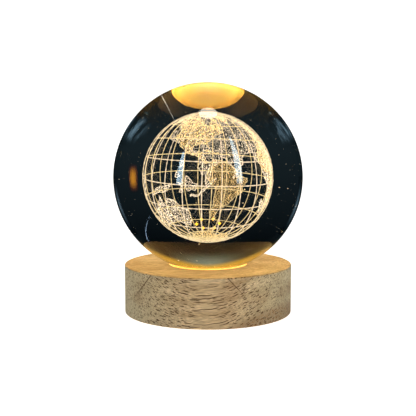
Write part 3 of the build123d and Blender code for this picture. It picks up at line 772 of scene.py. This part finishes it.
def new_light(name, kind, place, power, colour, **settings):
    """A light that neither the camera nor a reflection nor the glass shows."""
    data = bpy.data.lights.new(name, kind)
    data.energy, data.color = power, linear(colour)[:3]
    for key, value in settings.items():
        setattr(data, key, value)
    light = bpy.data.objects.new(name, data)
    light.location = place
    bpy.context.scene.collection.objects.link(light)
    light.visible_camera = light.visible_glossy = light.visible_transmission = False
    return light


def phosphor_material(settings):
    """Phosphor cast in silicone over an LED: glossy, and cloudy with its yellow grains."""
    material, tree = new_material("cast_phosphor")
    add(tree, "OutputMaterial", add(tree, "BsdfPrincipled", {
        "Base Color": mottled(tree, 0.15 * MM, "#F8D766", "#EFC64C"), "Roughness": 0.35,
        "Emission Color": linear(settings.warm), "Emission Strength": settings.led_glow}))
    return material


def silicone_material(settings, contact):
    """Clear silicone, moulded: satin, with a painted glow for the LEDs' light from below, most of all inside
    the ball's contact.
    """
    blur, patch = 0.05 * MM, 2.2 * MM
    material, tree = new_material("moulded_clear_silicone_with_painted_glow")
    place = add(tree, "TexCoord").outputs["Object"]
    shine = add(tree, "MapRange", from_axis(tree, place), contact - blur, contact + blur,
                settings.ring_core, settings.ring_glow)
    patches = add(tree, "TexNoise", place, 1 / patch)
    uneven = add(tree, "MapRange", patches, 0.35, 0.65, 0.7, 1.4)
    add(tree, "OutputMaterial", add(tree, "BsdfPrincipled", {
        # Painted light: the ring's own glow, for the light of the LEDs below it
        "Base Color": linear("#F6E2B8"), "Roughness": 0.4, "Emission Color": linear("#FFB03C"),
        "Emission Strength": add(tree, "Math", shine, uneven, operation="MULTIPLY")}))
    return material


class LAMP_OT_light(bpy.types.Operator):
    """Light the LEDs and the seat ring, and the well between them"""

    bl_idname = "lamp.light"
    bl_label = "Warm Light"

    def execute(self, context):
        """A light at the ball's centre stands for the globe, and a disk for what the ball sends down."""
        settings = context.scene.lamp_light
        dress(phosphor_material(settings), *nodes_named("led_phosphor"))
        self.make_ring(settings)
        bottom = BALL_CENTRE[2] - BALL_RADIUS
        new_light("spill_light", "POINT", BALL_CENTRE, settings.spill, settings.spill_colour,
                  shadow_soft_size=8 * MM)
        new_light("well_light", "AREA", (0, 0, bottom), settings.well, settings.warm,
                  shape="DISK", size=20 * MM)
        return {"FINISHED"}

    def make_ring(self, settings):
        """The ring's section turned about Z: (r cos a, r sin a, z), its seat cut to the ball's curve."""
        edge, edge_steps, seat_steps, round_steps = 0.25 * MM, 5, 8, 240
        contact = np.sqrt(BALL_RADIUS ** 2 - (BALL_CENTRE[2] - ring_high.z) ** 2)
        seat = np.linspace(contact, WELL_RADIUS, seat_steps)
        turn = np.linspace(0, pi / 2, edge_steps)
        r = np.concatenate([[WELL_RADIUS, ring_high.x], ring_high.x - edge + edge * np.cos(turn), seat])
        z = np.concatenate([[ring_low.z, ring_low.z], ring_high.z - edge + edge * np.sin(turn),
                            BALL_CENTRE[2] - np.sqrt(BALL_RADIUS ** 2 - seat ** 2)])
        a = np.linspace(0, 2 * pi, round_steps, endpoint=False)[:, None]
        points = np.stack(np.broadcast_arrays(r * np.cos(a), r * np.sin(a), z), -1).reshape(-1, 3)
        faces = grid_faces(round_steps, len(r), rows_closed=True)
        ring = new_piece("silicone_ring", points, faces, silicone_material(settings, contact),
                         "seat", "silicone")
        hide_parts("seat_ring")


# Small parts


class PartSettings(bpy.types.PropertyGroup):
    """Colours of the small parts in and under the base."""

    board: hex_colour("LED Board", "White solder mask", "#E9E6DC")
    cover: hex_colour("Cover", "Moulded plastic", "#1C1C1E")
    steel: hex_colour("Steel", "Screws, shell and spring", "#B9BABD")
    spring_turns: bpy.props.IntProperty(
        name="Spring Turns", description="Turns of the switch spring", default=7)
    spring_wire: length("Spring Wire", "Wire of the switch spring", 0.3)


def finish_material(name, colour, roughness, grain, relief=0.0, **shader):
    """A plain finish whose colour, gloss and relief vary by a noise of a given grain size, in mm."""
    darkened, gloss_spread = 0.12, 0.15
    material, tree = new_material(name)
    noise = add(tree, "TexNoise", add(tree, "TexCoord").outputs["Object"], 1 / (grain * MM), 4.0)
    light = linear(colour)
    dark = tuple(part * (1 - darkened) for part in light[:3]) + (1.0,)
    gloss = add(tree, "MapRange", noise, 0.3, 0.7,
                roughness * (1 - gloss_spread), min(1.0, roughness * (1 + gloss_spread)))
    add(tree, "OutputMaterial", add(tree, "BsdfPrincipled", {
        "Base Color": add(tree, "Mix", noise, dark, light, data_type="RGBA"), "Roughness": gloss,
        "Normal": add(tree, "Bump", {"Strength": 0.5, "Distance": relief * MM, "Height": noise}), **shader}))
    return material


class LAMP_OT_parts(bpy.types.Operator):
    """Finish the boards, socket, switch, leads, cover, screws and feet"""

    bl_idname = "lamp.parts"
    bl_label = "Small Parts"

    def execute(self, context):
        """Each row gives a finish and how the names of its nodes begin.

        The finish is its name, colour and roughness, and its grain and relief in mm.
        """
        settings = context.scene.lamp_parts
        finishes = (
            # White solder mask over glass fibre: glossy, with a faint weave
            ("white_solder_mask", settings.board, 0.35, 0.8, 0.01, ["led_board"]),
            # Glass-filled white nylon round the phosphor: satin
            ("moulded_white_nylon", "#F1EFE6", 0.45, 0.3, 0.01, ["led_housing"]),
            # Fired ceramic chip with a black glaze
            ("glazed_chip_ceramic", "#141418", 0.25, 0.4, 0.0, ["resistor"]),
            # Spark-textured ABS: matt and finely pitted
            ("spark_textured_abs", settings.cover, 0.6, 0.35, 0.03, ["bottom_cover", "switch_body"]),
            # Moulded nylon: smoother and a little glossier
            ("moulded_black_nylon", "#18181A", 0.45, 0.5, 0.01, ["socket_insulator"]),
            # Polished ABS button
            ("polished_black_abs", "#222225", 0.22, 1.5, 0.0, ["button_cap"]),
            # Acetal: white and waxy
            ("machined_white_acetal", "#E8E7E1", 0.4, 0.6, 0.005, ["switch_plunger"]),
            # Green solder mask
            ("green_solder_mask", "#0E5B34", 0.3, 0.8, 0.01, ["socket_board"]),
            # Extruded PVC insulation
            ("extruded_black_pvc", "#17171A", 0.5, 1.0, 0.01, ["wire_return"]),
            ("extruded_red_pvc", "#A8201A", 0.5, 1.0, 0.01, ["wire_supply", "wire_switched"]),
            # Die-cut rubber: dead matt
            ("die_cut_rubber", "#1B1B1B", 0.9, 0.3, 0.03, ["foot_"]),
        )
        metals = (
            # Zinc-plated steel: bright, with a soft bloom
            ("zinc_plated_steel", settings.steel, 0.32, 0.6, 0.0, ["board_screws", "cover_screws"]),
            # Deep-drawn steel shell
            ("drawn_steel", settings.steel, 0.25, 0.9, 0.0, ["socket_shell"]),
            # Gold flash on copper
            ("gold_flashed_copper", "#E8BE62", 0.2, 0.5, 0.0, ["socket_contacts"]),
            # Hot-tinned brass
            ("tinned_brass", "#CFC9B6", 0.35, 0.5, 0.0, ["switch_terminals"]),
        )
        for rows, metallic in ((finishes, 0.0), (metals, 1.0)):
            for *look, starts in rows:
                material = finish_material(*look, Metallic=metallic)
                for start in starts:
                    dress(material, *nodes_named(start))
        self.make_spring(settings)
        return {"FINISHED"}

    def make_spring(self, settings):
        """A coil: p(u) = (r cos u, y(u), r sin u) with a round section, whose end turns lie close."""
        turn_steps, sides, closeness = 28, 8, 0.45
        wire = settings.spring_wire
        middle = (spring_low + spring_high) / 2
        coil = (spring_high.x - spring_low.x - wire) / 2
        steps = settings.spring_turns * turn_steps
        share = np.linspace(0, 1, steps)[:, None]
        eased = share - np.sin(2 * pi * share) / (2 * pi) * closeness
        u = share * settings.spring_turns * 2 * pi
        y = spring_low.y + wire / 2 + eased * (spring_high.y - spring_low.y - wire)
        line = np.concatenate([middle.x + coil * np.cos(u), y, middle.z + coil * np.sin(u)], axis=1)
        out = np.concatenate([np.cos(u), np.zeros_like(u), np.sin(u)], axis=1)
        side = unit(np.cross(np.gradient(line, axis=0), out))
        v = np.linspace(0, 2 * pi, sides, endpoint=False)[None, :, None]
        section = wire / 2 * (out[:, None] * np.cos(v) + side[:, None] * np.sin(v))
        points = (line[:, None] + section).reshape(-1, 3)
        ends = [list(range(sides))[::-1], list(range(sides * (steps - 1), sides * steps))]
        # Drawn spring wire: bright and smooth
        steel = finish_material("music_wire", settings.steel, 0.25, 0.4, Metallic=1.0)
        spring = new_piece("coil_spring", points, grid_faces(steps, sides).tolist() + ends, steel,
                           "base", "spring_wire")
        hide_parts("switch_spring")
        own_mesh(spring)


# Studio


class StudioSettings(bpy.types.PropertyGroup):
    """Camera, floor and lights."""

    distance: length("Camera Distance", "Camera to the ball's centre", 397.2)
    rise: angle("Camera Rise", "Height of the camera above the ball's centre", 4.7)
    pitch: angle("Camera Pitch", "The camera looks down by this", 6.58)
    focal_pixels: plain_number("Focal Length in Pixels", "Focal length, in pixels of the picture", 937.0)
    picture_pixels: bpy.props.IntProperty(name="Picture", description="Width of the picture", default=416)
    reach: length("Reach", "Distance of the mirrored panels", 900)
    disc_radiance: plain_number("Overhead Light", "Radiance of the round light overhead", 11.0)
    floor_glow: plain_number("Floor Glow", "Own light of the pale floor", 1.0)


def camera_place(settings):
    """Where the camera stands: in front of the ball and a little above its centre."""
    return BALL_CENTRE + settings.distance * np.array([0, -cos(settings.rise), sin(settings.rise)])


def place_camera(settings):
    """A camera in front of the lamp that looks slightly down."""
    data = bpy.data.cameras.new("camera")
    data.sensor_width = 36.0
    data.lens = data.sensor_width * settings.focal_pixels / settings.picture_pixels
    camera = bpy.data.objects.new("camera", data)
    camera.location = camera_place(settings)
    camera.rotation_euler = (pi / 2 - settings.pitch, 0, 0)
    data.clip_start, data.clip_end = 10 * MM, 20.0
    bpy.context.scene.collection.objects.link(camera)
    bpy.context.scene.camera = camera


# Soft lights: azimuth and elevation in degrees, distance and size in metres, radiance and colour
STUDIO_LIGHTS = {
    "key_front": (34, 12, 1.2, (0.7, 0.6), 2.75, "#FFF6EA"),
    "fill_left": (-55, 10, 1.2, (0.5, 0.6), 0.45, "#E2ECF4"),
}


def studio_light(name, azimuth, elevation, distance, size, radiance, colour):
    """A flat soft light that faces the ball. Its power is pi x radiance x area."""
    a, e = radians(azimuth), radians(elevation)
    place = BALL_CENTRE + distance * np.array([sin(a) * cos(e), -cos(a) * cos(e), sin(e)])
    light = new_light(name, "AREA", place, pi * radiance * size[0] * size[1], colour,
                      shape="RECTANGLE", size=size[0], size_y=size[1])
    light.rotation_euler = (pi / 2 - e, 0, a)


# Things in the studio that the ball mirrors. Each has three rows, for its top, middle and bottom, with
# the picture's pixels (of 416 x 416) where its left and its right edge show, as x, y, x, y. Then come
# its radiance, the colours of its core and its edge, and how hard that edge is.
REFLECTIONS = {
    "strip_left": ((183.2, 151, 184.6, 151), (178.2, 166, 183.9, 166), (175.6, 185.5, 181.6, 185.5),
                   15.0, "#B8D6E8", "#88A4B8", 6),
    "strip_right": ((228.2, 135.5, 229.8, 135.5), (233.2, 158, 239.6, 158), (236.4, 185, 243.6, 185),
                    13.0, "#B8D6E8", "#88A4B8", 6),
    "lamp_left": ((129, 163, 138, 163), (128, 178, 138.5, 178), (130, 193, 139, 193),
                  9.0, "#F2A020", "#701505", 1.2),
    "window_left": ((138, 109, 158, 121), (126, 124, 148, 135), (118, 142, 136, 150),
                    1.4, "#7FA0B4", "#20343F", 1.0),
    "window_right": ((258, 121, 279, 109), (268, 136, 291, 124), (280, 151, 299, 142),
                     1.4, "#7FA0B4", "#20343F", 1.0),
    "glint_left": ((133, 121, 146, 108), (134.5, 124, 148, 111), (136, 127, 150, 114),
                   5.0, "#A8D0D0", "#305860", 1.0),
    "glint_right": ((268, 109, 281, 120), (267, 112, 281, 123), (266, 115, 280, 127),
                    5.5, "#B8E0D8", "#305860", 1.0),
    "cable_high": ((160.6, 95, 161.4, 95), (167.6, 107.5, 168.4, 107.5), (174.6, 121.5, 175.4, 121.5),
                   8.0, "#C8D0CC", "#808884", 4),
    "cable_low": ((150.2, 214, 150.9, 214), (145.2, 230, 146.4, 230), (148.8, 242, 149.8, 242),
                  4.2, "#A8C8E8", "#5878A0", 3),
    "rim_left": ((114.2, 176, 117.5, 176), (117.8, 205, 122, 205), (133, 236, 138, 234),
                 0.7, "#8FB0C4", "#203848", 1.0),
    "rim_right": ((298.6, 176, 302.2, 176), (294, 205, 298.4, 205), (278, 234, 283.4, 236),
                  0.7, "#8FB0C4", "#203848", 1.0),
}
PANEL_GRID = (25, 13)        # points from top to bottom of a panel and across it
DISC_STEPS = 65      # points round a disc
HARD_EDGE = 2        # an edge harder than this keeps its fall-off unsquared
CLOUDY = {"window_left", "window_right", "glint_left", "glint_right"}
CLOUD_SIZE = 0.16    # of the clouds on those panels, in metres

# The round light overhead, with its middle and half sizes in pixels, and the glow of the ceiling round it
DISC_CENTRE = (208.1, 113.3)
DISC_HALF = (9.4, 5.6)
DISC_COLOUR = "#FFF0D8"
CEILING_SPREAD = 1.7
CEILING_RADIANCE = 16.0
CEILING_COLOUR = "#FFC8A0"


def mirrored(settings, x, y):
    """Points in the studio that the outside of the ball mirrors at pixels x, y of the picture.

    A ray from the camera meets the ball at q, where it turns to d - 2 (d . n) n, and the point is
    q plus the reach along it.
    """
    p = settings.pitch
    up, forward = np.array([0, sin(p), cos(p)]), np.array([0, cos(p), -sin(p)])
    half = settings.picture_pixels / 2
    d = forward * settings.focal_pixels + np.stack([x - half, 0 * x, 0 * x], -1) - up * (y - half)[..., None]
    d = unit(d)
    eye = camera_place(settings) - BALL_CENTRE
    along = d @ eye
    depth = -along - np.sqrt(np.maximum(along ** 2 - eye @ eye + BALL_RADIUS ** 2, 0))
    q = eye + d * depth[..., None]
    n = unit(q)
    turned = d - 2 * (d * n).sum(-1, keepdims=True) * n
    return BALL_CENTRE + q + settings.reach * turned


def panel_mesh(name, settings, x, y, glow, radiance, core, edge):
    """A glowing panel through the mirrored points of a grid of pixels, seen in reflections alone."""
    material, tree = new_material(name)
    level = add(tree, "Attribute", attribute_name="glow").outputs["Fac"]
    if name in CLOUDY:
        clouds = add(tree, "TexNoise", add(tree, "TexCoord").outputs["Object"], 1 / CLOUD_SIZE, 5.0)
        cloud = add(tree, "MapRange", clouds, 0.4, 0.66, 0.1, 2.6)
        level = add(tree, "Math", level, cloud, operation="MULTIPLY")
    strength = add(tree, "Math", level, radiance, operation="MULTIPLY")
    colour = add(tree, "Mix", level, linear(edge), linear(core), data_type="RGBA")
    add(tree, "OutputMaterial", add(tree, "Emission", colour, strength))
    material.cycles.emission_sampling = "NONE"
    points = mirrored(settings, x, y)
    faces = grid_faces(*x.shape, columns_closed=False)
    panel = new_mesh(name, points.reshape(-1, 3), faces, material)
    panel.data.attributes.new("glow", "FLOAT", "POINT").data.foreach_set("value", glow.ravel())
    panel.visible_camera = panel.visible_diffuse = panel.visible_transmission = panel.visible_shadow = False
    return panel


def disc_pixels(spread, rows):
    """Pixels of a disc: (x, y) = centre + s r (a cos t, b sin t), closed at t = 2 pi, and their r."""
    r = np.linspace(0, 1, rows)[:, None]
    t = np.linspace(0, 2 * pi, DISC_STEPS)[None]
    x, y = [c + spread * h * r * f(t) for c, h, f in zip(DISC_CENTRE, DISC_HALF, (np.cos, np.sin))]
    return x, y, np.broadcast_to(r, x.shape)


def reflections(settings):
    """The panels. A pixel at (u, v) is (1 - u) left(v) + u right(v), each edge a parabola by its rows."""
    v = np.linspace(0, 1, PANEL_GRID[0])[:, None]
    u = np.linspace(0, 1, PANEL_GRID[1])[None]
    through = np.array([(1 - v) * (1 - 2 * v), 4 * v * (1 - v), v * (2 * v - 1)])
    for name, (top, middle, bottom, radiance, core, edge, hardness) in REFLECTIONS.items():
        rows = np.array([top, middle, bottom]).reshape(3, 2, 2)
        left, right = np.einsum("kvo,ksc->scv", through, rows)
        x, y = [(1 - u) * left[c][:, None] + u * right[c][:, None] for c in (0, 1)]
        fade = (1 - np.abs(2 * u - 1) ** (2 * hardness)) * (1 - np.abs(2 * v - 1) ** (2 * hardness))
        glow = fade if hardness > HARD_EDGE else fade ** 2
        panel_mesh(name, settings, x, y, glow, radiance, core, edge)
    x, y, _ = disc_pixels(1.0, 5)
    panel_mesh("disc_above", settings, x, y, np.ones(x.shape), settings.disc_radiance,
               DISC_COLOUR, DISC_COLOUR)
    x, y, r = disc_pixels(CEILING_SPREAD, 9)
    ceiling = panel_mesh("ceiling", settings, x, y, (1 - r ** 2) ** 2, CEILING_RADIANCE,
                         CEILING_COLOUR, CEILING_COLOUR)
    # The ceiling's glow shows in the glass and in no reflection off it
    ceiling.visible_glossy, ceiling.visible_transmission = False, True


def lit_ceiling(tree, way, path):
    """The room's ceiling: a grey patch behind the lamp and warm light overhead, seen in the glass alone.

    Both are placed by the direction in which a ray leaves the glass: z is its part upward and x to
    the side. The patch starts at one height, is full at the next, and fades from the middle to the
    sides. The warm light lies above it, a little lower at the sides, and stops short of the zenith.
    """
    patch_height, patch_width = (0.52, 0.76), (0.02, 0.4)
    warm_height, warm_dip, zenith = (0.73, 0.86), 0.15, (0.9, 0.97)
    x, _, z = add(tree, "SeparateXYZ", way).outputs
    aside = add(tree, "Math", x, operation="ABSOLUTE")
    rise = add(tree, "MapRange", z, *patch_height, 0.0, 1.0, **SOFT)
    middle = add(tree, "MapRange", aside, *patch_width, 1.0, 0.0, **SOFT)
    patch = add(tree, "Math", rise, middle, operation="MULTIPLY")
    level = add(tree, "Math", aside, warm_dip, z, operation="MULTIPLY_ADD")
    warm = add(tree, "MapRange", level, *warm_height, 0.0, 1.0, **SOFT)
    below_zenith = add(tree, "MapRange", z, *zenith, 1.0, 0.0)
    overhead = add(tree, "Math", warm, below_zenith, operation="MULTIPLY")
    grey = add(tree, "Mix", patch, linear("#000000"), linear("#848C74"), data_type="RGBA")
    colour = add(tree, "Mix", overhead, grey, linear("#FFBC30"), data_type="RGBA")
    return add(tree, "Background", colour, path.outputs["Is Transmission Ray"])


def make_world(scene):
    """A dark room round the ball, darker below and overhead, while the camera itself sees white."""
    world = bpy.data.worlds.new("studio")
    world.use_nodes = True
    tree = world.node_tree
    tree.nodes.clear()
    path = add(tree, "LightPath")
    way = add(tree, "TexCoord").outputs["Generated"]
    height = add(tree, "SeparateXYZ", way).outputs["Z"]
    rise = add(tree, "MapRange", height, -0.3, 0.5, 0.0, 1.0)
    dusk = add(tree, "Mix", rise, linear("#182226"), linear("#04070A"), data_type="RGBA")
    below = add(tree, "MapRange", height, -1.0, -0.4, 0.25, 1.0)
    night = add(tree, "Background", dusk, below)
    room = add(tree, "AddShader", night, lit_ceiling(tree, way, path))
    white = add(tree, "Background", linear("#FFFFFF"), 1.0)
    add(tree, "OutputWorld", add(tree, "MixShader", path.outputs["Is Camera Ray"], room, white))
    scene.world = world


def make_floor(settings):
    """Pale paper that turns up behind the lamp: (x, y0 + R sin t, R - R cos t) on the turn."""
    front, back, bend, wall, half_width, bend_steps = -3.0, 1.2, 0.6, 2.0, 3.0, 24
    t = np.linspace(0, pi / 2, bend_steps)
    y = np.concatenate([[front], back + bend * np.sin(t), [back + bend]])
    z = np.concatenate([[0.0], bend - bend * np.cos(t), [wall]])
    x = np.array([-half_width, half_width])[:, None]
    points = np.stack(np.broadcast_arrays(x, y, z), -1).reshape(-1, 3)
    i = np.arange(len(y) - 1)
    faces = np.stack([i, i + len(y), i + len(y) + 1, i + 1], -1)
    paper, tree = new_material("matt_paper")
    add(tree, "OutputMaterial", add(tree, "BsdfPrincipled", {
        "Base Color": linear("#F4F4F2"), "Roughness": 0.9, "Specular IOR Level": 0.1,
        "Emission Color": linear("#FFFFFF"), "Emission Strength": settings.floor_glow}))
    floor = new_mesh("floor", points, faces, paper)
    floor.visible_transmission = floor.visible_glossy = False


class LAMP_OT_studio(bpy.types.Operator):
    """Set up the camera, the pale floor and the soft lights"""

    bl_idname = "lamp.studio"
    bl_label = "Studio"

    def execute(self, context):
        """Light focused by the ball isn't traced, and only very bright reflections are cut off."""
        settings = context.scene.lamp_studio
        scene = context.scene
        place_camera(settings)
        scene.view_settings.view_transform = "Standard"
        make_floor(settings)
        make_world(scene)
        scene.cycles.caustics_reflective = scene.cycles.caustics_refractive = False
        scene.cycles.sample_clamp_indirect = 40
        reflections(settings)
        for name, look in STUDIO_LIGHTS.items():
            studio_light(name, *look)
        return {"FINISHED"}


class LAMP_PT_panel(bpy.types.Panel):
    """Buttons for each part of the lamp"""

    bl_idname = "LAMP_PT_panel"
    bl_label = "Crystal Ball Lamp"
    bl_space_type = "VIEW_3D"
    bl_region_type = "UI"
    bl_category = "Lamp"

    def draw(self, context):
        """A button for each step, and under it the settings that it reads."""
        for operator, group in STEPS:
            self.layout.operator(operator.bl_idname)
            settings = getattr(context.scene, group)
            for name in settings.__annotations__:
                self.layout.prop(settings, name)


GROUPS = {
    "lamp_studio": StudioSettings,
    "lamp_ball": BallSettings,
    "lamp_engraving": EngravingSettings,
    "lamp_wood": WoodSettings,
    "lamp_light": LightSettings,
    "lamp_parts": PartSettings,
}
STEPS = (
    (LAMP_OT_studio, "lamp_studio"),
    (LAMP_OT_ball, "lamp_ball"),
    (LAMP_OT_grid, "lamp_engraving"),
    (LAMP_OT_land, "lamp_engraving"),
    (LAMP_OT_glints, "lamp_engraving"),
    (LAMP_OT_base, "lamp_wood"),
    (LAMP_OT_light, "lamp_light"),
    (LAMP_OT_parts, "lamp_parts"),
)


def register():
    """Register the settings, the operators and the panel."""
    for name, group in GROUPS.items():
        bpy.utils.register_class(group)
        setattr(bpy.types.Scene, name, bpy.props.PointerProperty(type=group))
    for operator, _ in STEPS:
        bpy.utils.register_class(operator)
    bpy.utils.register_class(LAMP_PT_panel)


def unregister():
    """Take the settings, the operators and the panel back out."""
    bpy.utils.unregister_class(LAMP_PT_panel)
    for operator, _ in STEPS:
        bpy.utils.unregister_class(operator)
    for name, group in GROUPS.items():
        delattr(bpy.types.Scene, name)
        bpy.utils.unregister_class(group)


def main():
    register()
    for operator, _ in STEPS:
        family, name = operator.bl_idname.split(".")
        getattr(getattr(bpy.ops, family), name)()


if __name__ == "__main__":
    main()
